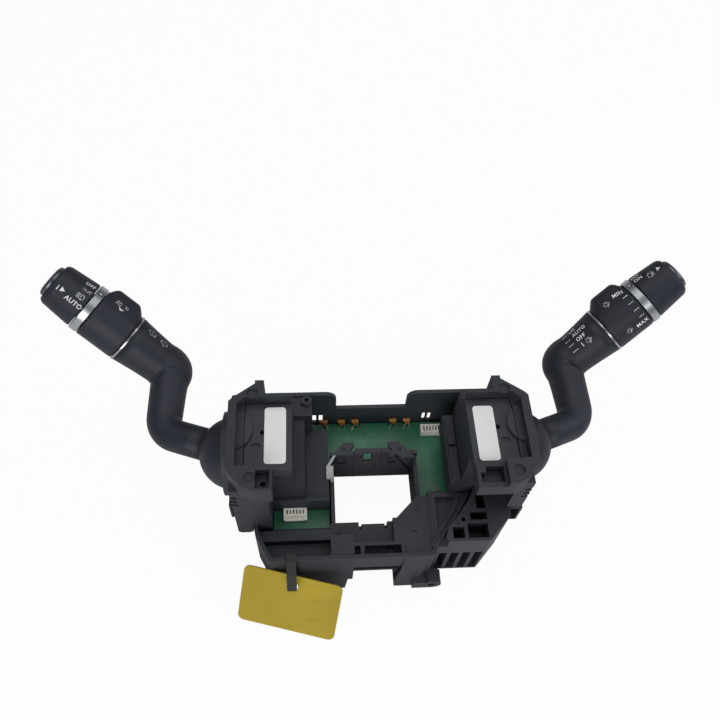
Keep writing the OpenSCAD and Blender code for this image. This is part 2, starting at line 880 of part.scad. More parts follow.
block_w = 26;
block_y = [-12, 29];
horn_x = [outer_x - 19.5, outer_x - 14.5];
rim_w = 4.7;
blade = 2;
rim_outline = [
    [inner_x, -tower_front],
    [outer_x - 15, -tower_front],
    [outer_x - 8, -tower_front + 3],
    [outer_x, -tower_front + 13],
    [outer_x, tower_back - 4],
    [outer_x - 2.5, tower_back - 1.5],
    [horn_x[1], tower_back + 7],
    [horn_x[1], tower_back + 9],
    [horn_x[0], tower_back + 9],
    [horn_x[0], tower_back],
    [inner_x, block_y[1] + side_gap + blade]
];
window_outline = [
    [inner_x + block_w - 1, block_y[0]],
    [outer_x - rim_w, block_y[0]],
    [outer_x - rim_w, tower_back - 5.5],
    [outer_x - 8, tower_back - 2.5],
    [inner_x + block_w - 1, tower_back - 2.5]
];
window_floor = housing_h - 7;
cap_r = 12.3;
cap_top = window_floor + 1.5;
dimple_r = 3.2;
dimples = [[outer_x - 12.8, -tower_front + 7.8], [outer_x - 13.2, tower_back + 0.5]];

module rim() {
    difference() {
        prism(rim_outline, shoulder_h, housing_h);
        block([inner_x - 1, block_y[0] - side_gap, shoulder_h - 1],
              [inner_x + block_w + side_gap, block_y[1] + side_gap, housing_h + 1]);
        difference() {
            prism(window_outline, window_floor, housing_h + 1);
            translate([ball_x, ball_y - 2, window_floor - 1])
                cylinder(r = cap_r, h = cap_top - window_floor + 1);
        }
        for (p = dimples)
            translate([p.x, p.y, housing_h - 1.5])
                cylinder(r = dimple_r, h = 2);
    }
}

// Front of the left rim: an open bay beside a sunk pad with a hole
module left_rim() {
    pad_x = [inner_x + 11.5, inner_x + 19];
    color(black)
        on_side(-1)
            difference() {
                rim();
                block([inner_x - 1, -tower_front - 1, shoulder_h - 1],
                      [pad_x[0] - 1.2, block_y[0], housing_h + 1]);
                block([pad_x[0], -tower_front + 1.5, window_floor],
                      [pad_x[1], block_y[0] - 3, housing_h + 1]);
                translate([(pad_x[0] + pad_x[1]) / 2, -tower_front + 6.5, shoulder_h + 4])
                    cylinder(r = 1.6, h = housing_h - shoulder_h);
            }
}

// Front of the right rim: a low shelf with a deep pocket and a hook beside it
module right_rim() {
    color(black)
        difference() {
            rim();
            block([inner_x - 1, -tower_front - 1, housing_h - 5],
                  [outer_x - 19, block_y[0], housing_h + 1]);
            block([inner_x + 5, -tower_front + 3, shoulder_h + 3],
                  [outer_x - 20, block_y[0] - 2.5, housing_h]);
            block([inner_x + 2, -tower_front + 3, shoulder_h + 3],
                  [inner_x + 6, -tower_front + 9, housing_h]);
        }
}

// Switch block set into the rim frame
module switch_block() {
    x1 = inner_x + block_w;
    color(satin)
        difference() {
            union() {
                block([inner_x, block_y[0], shoulder_h], [x1, block_y[1], block_top]);
                intersection() {
                    translate([ball_x, ball_y - 2, block_top - 1])
                        cylinder(r = cap_r, h = cap_top - block_top + 1);
                    block([inner_x, block_y[0], block_top - 1], [x1, block_y[1], cap_top]);
                }
            }
            translate([x1 - 9.8, 10.9, block_top - 4])
                cylinder(r = 1.5, h = 6);
            for (x = [-1, 1])
                translate([x1 - 6.2 + x, 2.7, block_top - 1.2])
                    cylinder(r = 1.6, h = 3);
            for (y = [block_y[0] + 6, block_y[1] - 9])
                block([inner_x - 1, y, shoulder_h + 1], [inner_x + 1.2, y + 3, block_top - 2]);
        }
}

// Lever root: gimbal, pivot and ball shroud

// Sphere about the ball centre with its poles on the lever's side, where they are cut away
module ball_sphere(r) {
    translate(ball)
        rotate([0, 90, 0])
            sphere(r = r, $fn = 96);
}

module gimbal() {
    half_x = 7;
    half_z = bar_in - side_gap;
    color(nylon)
        difference() {
            union() {
                translate(ball)
                    block([-half_x, -gimbal_half_y, -half_z], [half_x, gimbal_half_y, half_z]);
                translate(ball - [0, 0, bar_in + bar_t])
                    cylinder(r = pivot_r, h = 2 * (bar_in + bar_t));
                rod_x(ball - [tail_reach - 4, 0, 0], 4.5, tail_reach - 4 - half_x + eps);
            }
            rod_y(ball - [0, gimbal_half_y + 1, 0], pivot_r + run_gap, 2 * gimbal_half_y + 2);
            rod_x(ball - [tail_reach - 3, 0, 0], plunger_r + run_gap, tail_reach - 3 - half_x - 2);
        }
}

module plunger() {
    length = tail_reach - half_tail;
    color(bright)
        translate(ball - [tail_reach - plunger_r, 0, 0]) {
            sphere(r = plunger_r);
            rotate([0, 90, 0])
                cylinder(r = plunger_r, h = length - plunger_r);
        }
}

module pivot() {
    color(steel)
        rod_y(ball - [0, gimbal_half_y + side_gap + cheek_t, 0], pivot_r,
              2 * (gimbal_half_y + side_gap + cheek_t));
}

root_dir = [root_reach, root_rise, -root_drop] / norm([root_reach, root_rise, -root_drop]);
root_turn = atan2(root_rise, root_reach);
root_pitch = asin(root_drop / norm([root_reach, root_rise, root_drop]));
arm_start = sqrt(ball_r * ball_r - arm_root_r * arm_root_r);

module along_root() {
    translate(ball)
        rotate([0, root_pitch, root_turn])
            children();
}

module shroud() {
    inner_r = ball_r - ball_wall;
    rear = -8;
    plug = 12;
    color(lever_black)
        difference() {
            union() {
                difference() {
                    ball_sphere(ball_r);
                    intersection() {
                        ball_sphere(inner_r);
                        block(ball + [-ball_r, -ball_r, -ball_r], ball + [plug, ball_r, ball_r]);
                    }
                    block(ball + [-ball_r - 1, -ball_r - 1, -ball_r - 1],
                          ball + [rear, ball_r + 1, ball_r + 1]);
                }
                for (s = [-1, 1])
                    translate(ball + [0, s * (gimbal_half_y + side_gap + cheek_t / 2), 0])
                        block([-5, -cheek_t / 2, -5], [plug + 1, cheek_t / 2, 5]);
            }
            rod_y(ball - [0, ball_r + 1, 0], pivot_r, 2 * ball_r + 2);
            along_root()
                block([arm_start, -ball_r, -ball_r], [ball_r + 1, ball_r, ball_r]);
        }
}

// Lever arm: a round section swept along a route with two bends, thickening to the grip

function unit(v) = v / norm(v);
grip_dir = [
    cos(grip_lift) * cos(grip_turn),
    cos(grip_lift) * sin(grip_turn),
    sin(grip_lift)
];
bend_1 = ball + [root_reach, root_rise, -root_drop];
bend_2 = bend_1 + [-crank_in, crank_rise, crank_lift];
grip_base = bend_2 + grip_run * grip_dir;

// Arc that rounds the corner p1 between p0 and p2 with radius r, as n + 1 points. A bulge moves
// its middle outwards: with as much added to the section there, only the outside fills.
function swell(i, n, bulge) = bulge * pow(sin(180 * i / n), 2);
function bend_arc(p0, p1, p2, r, n, bulge = 0) =
    let (
        d0 = unit(p0 - p1),
        d2 = unit(p2 - p1),
        half = acos(d0 * d2) / 2,
        centre = p1 + unit(d0 + d2) * r / sin(half),
        u = unit(p1 + d0 * r / tan(half) - centre)
    )
    [for (i = [0 : n])
        let (a = i * (180 - 2 * half) / n)
        centre + (r + swell(i, n, bulge)) * (cos(a) * u - sin(a) * d0)];

bend_steps = 9;
arm_route = concat(
    [ball + arm_start * root_dir],
    bend_arc(ball, bend_1, bend_2, first_bend_r, bend_steps),
    bend_arc(bend_1, bend_2, grip_base, second_bend_r, bend_steps, bend_bulge),
    [for (t = [0.62, 0.82, 1]) bend_2 + t * (grip_base - bend_2)]
);

// Radius at each point of the route: even to the first bend, then growing to the grip
second_start = bend_steps + 2;
route_end = len(arm_route) - 1;
base_radii = [
    [0, arm_root_r],
    [1, arm_root_r],
    [bend_steps + 1, arm_crank_r],
    [second_start, arm_crank_r + 0.5],
    [second_start + bend_steps, arm_bend_r + 0.3],
    [route_end, grip_r]
];
arm_radii = [
    for (i = [0 : route_end])
        lookup(i, base_radii)
        + (i >= second_start && i <= second_start + bend_steps
            ? swell(i - second_start, bend_steps, bend_bulge) : 0)
];

function route_tangent(pts, i) =
    i == 0 ? unit(pts[1] - pts[0]) :
    i == len(pts) - 1 ? unit(pts[i] - pts[i - 1]) :
    unit(unit(pts[i + 1] - pts[i]) + unit(pts[i] - pts[i - 1]));

// Section direction carried along the route without twist
function carried(pts, i, n) =
    let (t = route_tangent(pts, i), m = unit(n - (n * t) * t))
    i == len(pts) - 1 ? [m] : concat([m], carried(pts, i + 1, m));

module swept_tube(pts, radii, sides) {
    sections = carried(pts, 0, [0, 0, 1]);
    points = [
        for (i = [0 : len(pts) - 1])
            let (t = route_tangent(pts, i), a = sections[i], b = cross(t, a), r = radii[i])
            for (k = [0 : sides - 1])
                pts[i] + r * (cos(360 * k / sides) * a + sin(360 * k / sides) * b)
    ];
    last = (len(pts) - 1) * sides;
    faces = concat(
        [[for (k = [0 : sides - 1]) k]],
        [for (i = [0 : len(pts) - 2]) for (k = [0 : sides - 1])
            let (a = i * sides + k, b = i * sides + (k + 1) % sides)
            [a, a + sides, b + sides, b]],
        [[for (k = [sides - 1 : -1 : 0]) last + k]]
    );
    polyhedron(points = points, faces = faces, convexity = 4);
}

module arm() {
    color(lever_black)
        swept_tube(arm_route, arm_radii, 32);
}

// Grip parts, revolved about the grip axis: x = 0 is the outer face of the thin ring

module on_grip() {
    translate(grip_base)
        rotate([0, -grip_lift, grip_turn])
            translate([trim_ring_t, 0, 0])
                children();
}

// Revolve an outline of [x, r] points about the local X axis
module revolve_x(pts) {
    rotate([0, 90, 0])
        rotate_extrude()
            polygon([for (p = pts) [p.y, p.x]]);
}

end_gap = 0.3;
lobe_turn = 61;
collar_x = [end_gap, end_gap + collar_l];
index_x = [collar_x[1] + end_gap, collar_x[1] + end_gap + index_ring_l];
knob_x = [index_x[1] + end_gap, index_x[1] + end_gap + knob_l];
spigot_end = knob_x[1] - 4;
button_x = [spigot_end + end_gap + button_travel, knob_x[1] + button_out];
turn_r = spigot_r + run_gap;

module spigot() {
    color(steel)
        on_grip()
            difference() {
                rod_x([-trim_ring_t, 0, 0], spigot_r, spigot_end + trim_ring_t);
                rod_x([0, 0, 0], stem_r + run_gap, spigot_end + 1);
            }
}

module trim_ring() {
    color(bright)
        on_grip()
            revolve_x([
                [-trim_ring_t, spigot_r], [-trim_ring_t, grip_r - 0.3], [-trim_ring_t + 0.4, grip_r + 0.2],
                [-0.4, grip_r + 0.2], [0, grip_r - 0.3], [0, spigot_r]
            ]);
}

module index_ring() {
    color(bright)
        on_grip()
            revolve_x([
                [index_x[0], spigot_r], [index_x[0], grip_r - 0.4], [index_x[0] + 0.6, grip_r + 0.1],
                [index_x[1] - 0.6, grip_r + 0.1], [index_x[1], grip_r - 0.4], [index_x[1], spigot_r]
            ]);
}

module collar() {
    lobe = [
        [collar_x[0] + 2.2, grip_r - 2], [collar_x[0] + 3, grip_r + lobe_h - 0.6],
        [collar_x[0] + 4.2, grip_r + lobe_h], [collar_x[1] - 5, grip_r + lobe_h - 0.8],
        [collar_x[1] - 3.4, grip_r + lobe_h - 1.8], [collar_x[1] - 0.6, grip_r - 2]
    ];
    color(lever_black)
        on_grip() {
            revolve_x([
                [collar_x[0], turn_r], [collar_x[0], grip_r - 0.8], [collar_x[0] + 0.8, grip_r],
                [collar_x[1] - 0.8, grip_r], [collar_x[1], grip_r - 0.8], [collar_x[1], turn_r]
            ]);
            rotate([-lobe_turn, 0, 0])
                upright(lobe, -lobe_w / 2, lobe_w / 2);
        }
}

module knob() {
    bore_r = button_r + 0.25;
    color(lever_black)
        on_grip()
            revolve_x([
                [knob_x[0], turn_r], [knob_x[0], knob_base_r - 0.8], [knob_x[0] + 0.8, knob_base_r],
                [knob_x[1] - 3, knob_end_r + 0.8],
                [knob_x[1] - 1.2, knob_end_r + 0.2], [knob_x[1], knob_end_r - 1],
                [knob_x[1], bore_r], [spigot_end + end_gap, bore_r], [spigot_end + end_gap, turn_r]
            ]);
}

module end_button() {
    color(bright)
        on_grip()
            revolve_x([
                [spigot_end - 12, 0], [spigot_end - 12, stem_r], [button_x[0], stem_r],
                [button_x[0], button_r], [button_x[1] - 1.6, button_r],
                [button_x[1] - 0.6, button_r - 0.8], [button_x[1], button_r - 3], [button_x[1], 0]
            ]);
}

// Hang tag on its tie: the tag leans from the front wall to the surface the part stands on

tag_w = 60.6;
tag_h = 39.6;
tag_t = 0.8;
tag_yaw = -15.3;
tag_lean = 52;
tag_hole_side = 30.3;
tag_hole_drop = 7.4;
tag_hole_r = 3.6;

tag_corner_r = 4;

// Plate on the XY plane between two corners, with round corners
module rounded_plate(a, b, r, t) {
    translate([a.x + r, a.y, 0])
        cube([b.x - a.x - 2 * r, b.y - a.y, t]);
    translate([a.x, a.y + r, 0])
        cube([b.x - a.x, b.y - a.y - 2 * r, t]);
    for (x = [a.x + r, b.x - r], y = [a.y + r, b.y - r])
        translate([x, y, 0])
            cylinder(r = r, h = t);
}

module hang_tag() {
    color(tag_yellow)
        translate(tag_hole)
            rotate([0, 0, tag_yaw])
                rotate([tag_lean, 0, 0])
                    translate([0, 0, -tag_t / 2])
                        difference() {
                            rounded_plate([-tag_hole_side, tag_hole_drop - tag_h],
                                          [tag_w - tag_hole_side, tag_hole_drop], tag_corner_r, tag_t);
                            translate([0, 0, -1])
                                cylinder(r = tag_hole_r, h = tag_t + 2);
                        }
}

// Tie loop in the YZ plane, as [y, z] from the tag's hole: over the front wall, bowed out in
// front of the tag, through its hole and back up behind it to the slot in the wall
tie_top = [-front_reach - tie_t - tag_hole.y, carrier_h + tie_t + 0.2 - tag_hole.z];
tie_in = wall + 2 * tie_t + 0.2;
tie_low = tie_slot_z + 0.8 - tag_hole.z;
tie_loop = [for (p = [
    tie_top + [tie_in, 0],
    tie_top,
    [1, 17.5], [-3.4, 10.5], [-4.4, 4], [-3, 1.2],
    [2.5, -2.7],
    [tie_top.x, -1.5],
    [tie_top.x, tie_low],
    [tie_top.x + tie_in, tie_low]
]) [tag_hole.y, tag_hole.z] + p];

module cable_tie() {
    loop = [for (i = [len(tie_loop) - 1 : -1 : 0]) tie_loop[i]];
    color([0.05, 0.05, 0.05])
        difference() {
            side_plate(tie_loop, tie_x - tie_w / 2, tie_x + tie_w / 2);
            side_plate(inset_any(tie_loop, tie_t), tie_x - tie_w, tie_x + tie_w);
        }
}

function outline_area(pts, i = 0) =
    i == len(pts) ? 0 :
    cross(pts[i], pts[(i + 1) % len(pts)]) / 2 + outline_area(pts, i + 1);
function inset_any(pts, d) = inset(pts, outline_area(pts) > 0 ? d : -d);

module left_socket() {
    color(satin)
        difference() {
            flank_socket(-post_x[1] - 4.5, -post_x[1], -12, -shell_front - side_gap, 34, 52);
            on_side(-1)
                seat_pocket();
        }
}

module right_socket() {
    color(satin)
        difference() {
            flank_socket(housing_right, outer_x + 2.5, -19, -socket_y - side_gap, 33, housing_top - 2);
            seat_pocket();
        }
}

carrier();
column_bracket();
rear_wall();
inner_cover();
connector_housing();
left_socket();
right_socket();
circuit_board();
header_front();
header_rear();
capacitors();
column_tab();
left_tower();
right_tower();
left_rim();
right_rim();
on_side(-1) switch_block();  // left_block
on_side(1) switch_block();  // right_block
on_side(-1) seat_ring();  // left_seat
on_side(1) seat_ring();  // right_seat
on_side(-1) gimbal();  // left_gimbal
on_side(1) gimbal();  // right_gimbal
on_side(-1) plunger();  // left_plunger
on_side(1) plunger();  // right_plunger
on_side(-1) pivot();  // left_pivot
on_side(1) pivot();  // right_pivot
on_side(-1) shroud();  // left_shroud
on_side(1) shroud();  // right_shroud
on_side(-1) arm();  // left_arm
on_side(1) arm();  // right_arm
on_side(-1) spigot();  // left_spigot
on_side(1) spigot();  // right_spigot
on_side(-1) trim_ring();  // left_trim_ring
on_side(1) trim_ring();  // right_trim_ring
on_side(-1) index_ring();  // left_index_ring
on_side(1) index_ring();  // right_index_ring
on_side(-1) collar();  // left_collar
on_side(1) collar();  // right_collar
on_side(-1) knob();  // left_knob
on_side(1) knob();  // right_knob
on_side(-1) end_button();  // left_button
on_side(1) end_button();  // right_button
cable_tie();
hang_tag();
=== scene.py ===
"""Combination stalk switch: finishes, legends, labels and board fittings over the CAD frame."""

import math

import bpy
from mathutils import Matrix, Vector


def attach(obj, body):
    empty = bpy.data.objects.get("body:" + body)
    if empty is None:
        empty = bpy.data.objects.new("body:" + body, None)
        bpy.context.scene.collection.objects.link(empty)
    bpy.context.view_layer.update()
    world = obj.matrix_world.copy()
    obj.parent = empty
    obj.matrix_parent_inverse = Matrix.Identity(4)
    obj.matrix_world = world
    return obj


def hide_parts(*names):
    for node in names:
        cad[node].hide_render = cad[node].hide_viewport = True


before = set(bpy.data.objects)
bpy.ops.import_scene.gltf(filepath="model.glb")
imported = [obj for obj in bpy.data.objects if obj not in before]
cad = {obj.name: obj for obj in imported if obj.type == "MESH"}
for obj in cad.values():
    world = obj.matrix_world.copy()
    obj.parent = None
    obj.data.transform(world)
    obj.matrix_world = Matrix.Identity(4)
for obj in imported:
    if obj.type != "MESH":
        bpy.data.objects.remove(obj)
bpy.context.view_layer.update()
MM = 0.001
SIDES = ("left", "right")

# Driving sizes, as the part's source has them: lengths in mm, angles given in degrees

BALL = Vector((84, 14, 70))
FIRST_BEND = BALL + Vector((46.5, 20, -10))
SECOND_BEND = FIRST_BEND + Vector((-2, 42.5, 3.5))
GRIP_RUN = 33
TRIM_RING_T = 1.8
GRIP_TURN = math.radians(27.5)
GRIP_LIFT = math.radians(34.7)
GRIP_R = 16.1
LOBE_TURN = 61
BOARD_TOP = 28.8
BLOCK_TOP = 102.0

# The right grip's directions and its start, which is the outer face of the thin bright ring

GRIP = Vector((
    math.cos(GRIP_LIFT) * math.cos(GRIP_TURN),
    math.cos(GRIP_LIFT) * math.sin(GRIP_TURN),
    math.sin(GRIP_LIFT),
))
GRIP_OUT = Vector((
    -math.sin(GRIP_LIFT) * math.cos(GRIP_TURN),
    -math.sin(GRIP_LIFT) * math.sin(GRIP_TURN),
    math.cos(GRIP_LIFT),
))
GRIP_UP = GRIP_OUT.cross(GRIP)
GRIP_BASE = SECOND_BEND + (GRIP_RUN + TRIM_RING_T) * GRIP


def outward(turn):
    """Direction away from the right grip's axis, turned about it by so many degrees."""
    angle = math.radians(turn)
    return GRIP_OUT * math.cos(angle) + GRIP_UP * math.sin(angle)


def drop_selection():
    if bpy.context.mode != "OBJECT":
        bpy.ops.object.mode_set(mode="OBJECT")
    bpy.ops.object.select_all(action="DESELECT")


# Camera, lamps, room and floor, in metres


def stand_camera():
    """The photograph's viewing angle: from the driver's side, looking down the column."""
    right = Vector((0.9976, -0.0515, 0.0456))
    up = Vector((0.0189, 0.8423, 0.5387))
    back = Vector((-0.0661, -0.5366, 0.8412))
    place = Vector((-0.038, -0.1737, 0.4643))
    lens = bpy.data.cameras.new("photo_camera")
    lens.lens, lens.sensor_width = 36.2, 36
    lens.clip_start, lens.clip_end = 0.02, 30
    camera = bpy.data.objects.new("photo_camera", lens)
    bpy.context.collection.objects.link(camera)
    turn = Matrix((right, up, back)).transposed().to_4x4()
    camera.matrix_world = Matrix.Translation(place) @ turn
    bpy.context.scene.camera = camera


def hang_softbox(name, place, size, watts):
    """Flat lamp that faces the middle of the part."""
    aim = Vector((0, 0.02, 0.05))
    drop_selection()
    bpy.ops.object.light_add(type="AREA", location=place)
    lamp = bpy.context.object
    lamp.name = name
    lamp.data.shape = "RECTANGLE"
    lamp.data.size, lamp.data.size_y = size
    lamp.data.energy = watts
    lamp.rotation_mode = "QUATERNION"
    lamp.rotation_quaternion = (aim - Vector(place)).to_track_quat("-Z", "Y")


def paint_room(as_light=0.19, as_seen=1.0):
    """Pale room: white to the camera and through clear things, and only a faint light."""
    world = bpy.data.worlds.new("pale_room")
    bpy.context.scene.world = world
    world.use_nodes = True
    tree = world.node_tree
    tree.nodes.clear()
    path = tree.nodes.new("ShaderNodeLightPath")
    sky = tree.nodes.new("ShaderNodeBackground")
    sky.inputs["Color"].default_value = (1, 1, 1, 1)
    straight = tree.nodes.new("ShaderNodeMath")
    straight.operation = "MAXIMUM"
    strength = tree.nodes.new("ShaderNodeMapRange")
    strength.inputs["To Min"].default_value = as_light
    strength.inputs["To Max"].default_value = as_seen
    out = tree.nodes.new("ShaderNodeOutputWorld")
    tree.links.new(path.outputs["Is Camera Ray"], straight.inputs[0])
    tree.links.new(path.outputs["Is Transmission Ray"], straight.inputs[1])
    tree.links.new(straight.outputs[0], strength.inputs["Value"])
    tree.links.new(strength.outputs[0], sky.inputs["Strength"])
    tree.links.new(sky.outputs[0], out.inputs["Surface"])


def lay_floor(size=8, drop=0.0004, grey=0.86, glow_seen=0.95):
    """Pale floor just under the feet: it glows for the camera alone, and keeps the shadow."""
    drop_selection()
    bpy.ops.mesh.primitive_plane_add(size=size, location=(0, 0, -drop))
    floor = bpy.context.object
    floor.name = "pale_floor"
    paint = bpy.data.materials.new("pale_floor_paint")
    paint.use_nodes = True
    tree = paint.node_tree
    tree.nodes.clear()
    matt = tree.nodes.new("ShaderNodeBsdfDiffuse")
    matt.inputs["Color"].default_value = (grey, grey, grey, 1)
    glow = tree.nodes.new("ShaderNodeEmission")
    glow.inputs["Color"].default_value = (1, 1, 1, 1)
    mix = tree.nodes.new("ShaderNodeMixShader")
    path = tree.nodes.new("ShaderNodeLightPath")
    share = tree.nodes.new("ShaderNodeMath")
    share.operation = "MULTIPLY"
    share.inputs[1].default_value = glow_seen
    out = tree.nodes.new("ShaderNodeOutputMaterial")
    tree.links.new(path.outputs["Is Camera Ray"], share.inputs[0])
    tree.links.new(share.outputs[0], mix.inputs[0])
    tree.links.new(matt.outputs[0], mix.inputs[1])
    tree.links.new(glow.outputs[0], mix.inputs[2])
    tree.links.new(mix.outputs[0], out.inputs["Surface"])
    floor.data.materials.append(paint)


# Shader maths: an expression on values adds its Math nodes


class Shade:
    """One output socket of a finish, with the operators that the finishes use."""

    def __init__(self, finish, socket):
        self.finish, self.socket = finish, socket

    def _math(self, operation, left, right):
        return self.finish.add("ShaderNodeMath", {"operation": operation}, {0: left, 1: right})

    def __add__(self, other):
        return self._math("ADD", self, other)

    __radd__ = __add__

    def __sub__(self, other):
        return self._math("SUBTRACT", self, other)

    def __rsub__(self, other):
        return self._math("SUBTRACT", other, self)

    def __mul__(self, other):
        return self._math("MULTIPLY", self, other)

    __rmul__ = __mul__

    def __gt__(self, other):
        return self._math("GREATER_THAN", self, other)

    def __lt__(self, other):
        return self._math("LESS_THAN", self, other)

    def clipped(self, low, high):
        """0 below low, 1 above high, even between."""
        return self.finish.add(
            "ShaderNodeMapRange", {"clamp": True},
            {"Value": self, "From Min": low, "From Max": high})


class Finish:
    """A material with one Principled shader, fed by expressions."""

    def __init__(self, name, **plain):
        self.material = bpy.data.materials.new(name)
        self.material.use_nodes = True
        self.tree = self.material.node_tree
        self.tree.nodes.clear()
        self.shader = self.tree.nodes.new("ShaderNodeBsdfPrincipled")
        out = self.tree.nodes.new("ShaderNodeOutputMaterial")
        self.tree.links.new(self.shader.outputs[0], out.inputs["Surface"])
        self.place = self.add("ShaderNodeTexCoord", out="Object")
        for socket, value in plain.items():
            self.paint(socket.replace("_", " "), value)

    def add(self, kind, settings=None, values=None, out=0):
        """Adds a node: its settings first, then the values or links of its sockets."""
        node = self.tree.nodes.new(kind)
        for key, value in (settings or {}).items():
            setattr(node, key, value)
        for key, value in (values or {}).items():
            self._feed(node.inputs[key], value)
        return Shade(self, node.outputs[out])

    def _feed(self, socket, value):
        if isinstance(value, Shade):
            self.tree.links.new(value.socket, socket)
        elif isinstance(value, tuple) and len(value) == 3 and socket.type == "RGBA":
            socket.default_value = (*value, 1)
        else:
            socket.default_value = value

    def paint(self, socket, value):
        self._feed(self.shader.inputs[socket], value)

    def blend(self, mask, low, high):
        """Colour low where the mask is 0, high where it is 1."""
        node = self.tree.nodes.new("ShaderNodeMix")
        node.data_type = "RGBA"
        for index, value in ((0, mask), (6, low), (7, high)):
            self._feed(node.inputs[index], value)
        return Shade(self, node.outputs[2])

    def stretched(self, scale):
        return self.add("ShaderNodeMapping", None, {"Vector": self.place, "Scale": scale})

    def noise(self, scale, detail, at=None):
        return self.add("ShaderNodeTexNoise", None,
                        {"Vector": at or self.place, "Scale": scale, "Detail": detail})

    def cells(self, scale):
        return self.add("ShaderNodeTexVoronoi", None, {"Vector": self.place, "Scale": scale})

    def softened(self, radius):
        """Surface normal rounded over the edges."""
        return self.add("ShaderNodeBevel", {"samples": 4}, {"Radius": radius})

    def edges(self, rounded):
        """1 along sharp edges, 0 on open faces."""
        flat = self.add("ShaderNodeNewGeometry", out="Normal")
        along = self.add("ShaderNodeVectorMath", {"operation": "DOT_PRODUCT"},
                         {0: rounded, 1: flat}, "Value")
        return (1 - along).clipped(0.01, 0.16)

    def relief(self, height, depth, normal=None):
        values = {"Height": height, "Strength": 1.0, "Distance": depth}
        if normal:
            values["Normal"] = normal
        self.paint("Normal", self.add("ShaderNodeBump", None, values))


# Finishes, with bevel radii and bump depths in metres


def tinted(colour, factor):
    """Colour made darker or lighter by a factor."""
    return tuple(min(1, channel * factor) for channel in colour)


def grained_plastic(name, colour, worn_and_highlit, rough, grain=4200, depth=0.00002):
    """Black moulding: spark-eroded grain, faint flow marks, edges lighter partly from handling
    wear and partly as painted highlight, and a little dust.
    """
    f = Finish(name)
    cloud = f.noise(22, 4)
    smear = f.noise(9, 3, f.stretched((1, 3.2, 0.7)))
    sparks = f.noise(grain, 1)
    rounded = f.softened(0.0004)
    # Edge mask: lighter colour along the edges, partly handling wear and partly a painted
    # highlight.
    rubbed_and_highlit = f.edges(rounded) * (0.45 + cloud * 0.6)
    tone = f.blend((cloud * 0.6 + smear * 0.4).clipped(0.34, 0.66),
                   tinted(colour, 0.82), tinted(colour, 1.16))
    dust = f.noise(900, 2).clipped(0.66, 0.76) * smear.clipped(0.4, 0.7) * 0.22
    f.paint("Base Color", f.blend(dust, f.blend(rubbed_and_highlit, tone, worn_and_highlit), (0.16, 0.16, 0.15)))
    f.paint("Roughness", rough + cloud * 0.12 - rubbed_and_highlit * 0.1)
    f.relief(sparks + cloud * 0.4, depth, rounded)
    return f.material


def lever_plastic():
    """Stalk moulding: smoother than the housing, with a soft sheen, fine grain, and edges lighter
    partly from wear and partly as painted highlight.
    """
    f = Finish("lever_satin_black", Specular_IOR_Level=0.34)
    cloud = f.noise(16, 3)
    prints = f.noise(70, 4).clipped(0.5, 0.75)
    rounded = f.softened(0.0005)
    # Edge mask: lighter colour along the edges, partly wear and partly a painted highlight.
    rubbed_and_highlit = f.edges(rounded) * 0.6
    tone = f.blend(cloud.clipped(0.3, 0.7), (0.0150, 0.0182, 0.0280), (0.0220, 0.0265, 0.0395))
    f.paint("Base Color", f.blend(rubbed_and_highlit, tone, (0.06, 0.066, 0.076)))
    f.paint("Roughness", 0.46 + cloud * 0.1 - prints * 0.07)
    f.relief(f.noise(5200, 1), 0.000012, rounded)
    return f.material


def plated(name, colour, rough):
    """Plated or turned metal with fine turning marks."""
    f = Finish(name, Metallic=1.0)
    marks = f.noise(3500, 2)
    cloud = f.noise(60, 3)
    f.paint("Base Color", f.blend(cloud.clipped(0.3, 0.7), colour, tinted(colour, 0.86)))
    f.paint("Roughness", rough + marks * 0.08 + cloud * 0.06)
    f.relief(marks, 0.000004, f.softened(0.0003))
    return f.material


def solder_mask():
    """Green board: mottled mask over copper pours, with clusters of small tented holes."""
    f = Finish("board_solder_mask", Coat_Roughness=0.2)
    weave = f.noise(1500, 1, f.stretched((1, 0.25, 1)))
    cloud = f.noise(30, 3)
    pour = f.noise(85, 0).clipped(0.52, 0.54)
    spots = f.cells(400)
    holes = (spots < 0.15) * f.noise(42, 1).clipped(0.46, 0.5)
    green = f.blend(pour * 0.25 + cloud * 0.3, (0.016, 0.140, 0.064), (0.026, 0.195, 0.098))
    f.paint("Base Color", f.blend(holes, green, (0.20, 0.24, 0.13)))
    f.paint("Roughness", 0.36 + weave * 0.12 - holes * 0.1)
    f.paint("Coat Weight", 0.1 + pour * 0.1)
    f.relief(weave + pour * 2 + holes * 2, 0.00002, f.softened(0.00015))
    return f.material


def plain_plastic(name, colour, rough, spread=0.12):
    """Small parts: moulded or dipped, with slight colour and gloss changes."""
    f = Finish(name)
    cloud = f.noise(180, 3)
    rounded = f.softened(0.00025)
    tone = f.blend(cloud.clipped(0.3, 0.7), tinted(colour, 1 - spread), tinted(colour, 1 + spread))
    f.paint("Base Color", tone)
    f.paint("Roughness", rough + cloud * 0.1)
    f.relief(f.noise(3500, 1), 0.000008, rounded)
    return f.material


def tag_card():
    """Yellow plastic card: fine grain, a cloudy tone and a few scuffs."""
    f = Finish("tag_yellow_card", Specular_IOR_Level=0.28)
    cloud = f.noise(28, 4)
    scuffs = f.noise(60, 2, f.stretched((1, 6, 2))).clipped(0.64, 0.72)
    tone = f.blend(cloud.clipped(0.3, 0.7), (0.375, 0.275, 0.018), (0.455, 0.335, 0.026))
    f.paint("Base Color", f.blend(scuffs * 0.3, tone, (0.28, 0.21, 0.03)))
    f.paint("Roughness", 0.5 + cloud * 0.15)
    f.relief(f.noise(2600, 2) + scuffs, 0.000012)
    return f.material


def paper_label():
    """Blank white film label."""
    f = Finish("label_white_film")
    cloud = f.noise(90, 3)
    f.paint("Base Color", f.blend(cloud, (0.80, 0.82, 0.825), (0.85, 0.865, 0.87)))
    f.paint("Roughness", 0.42 + cloud * 0.12)
    f.relief(f.noise(2200, 2), 0.000006)
    return f.material


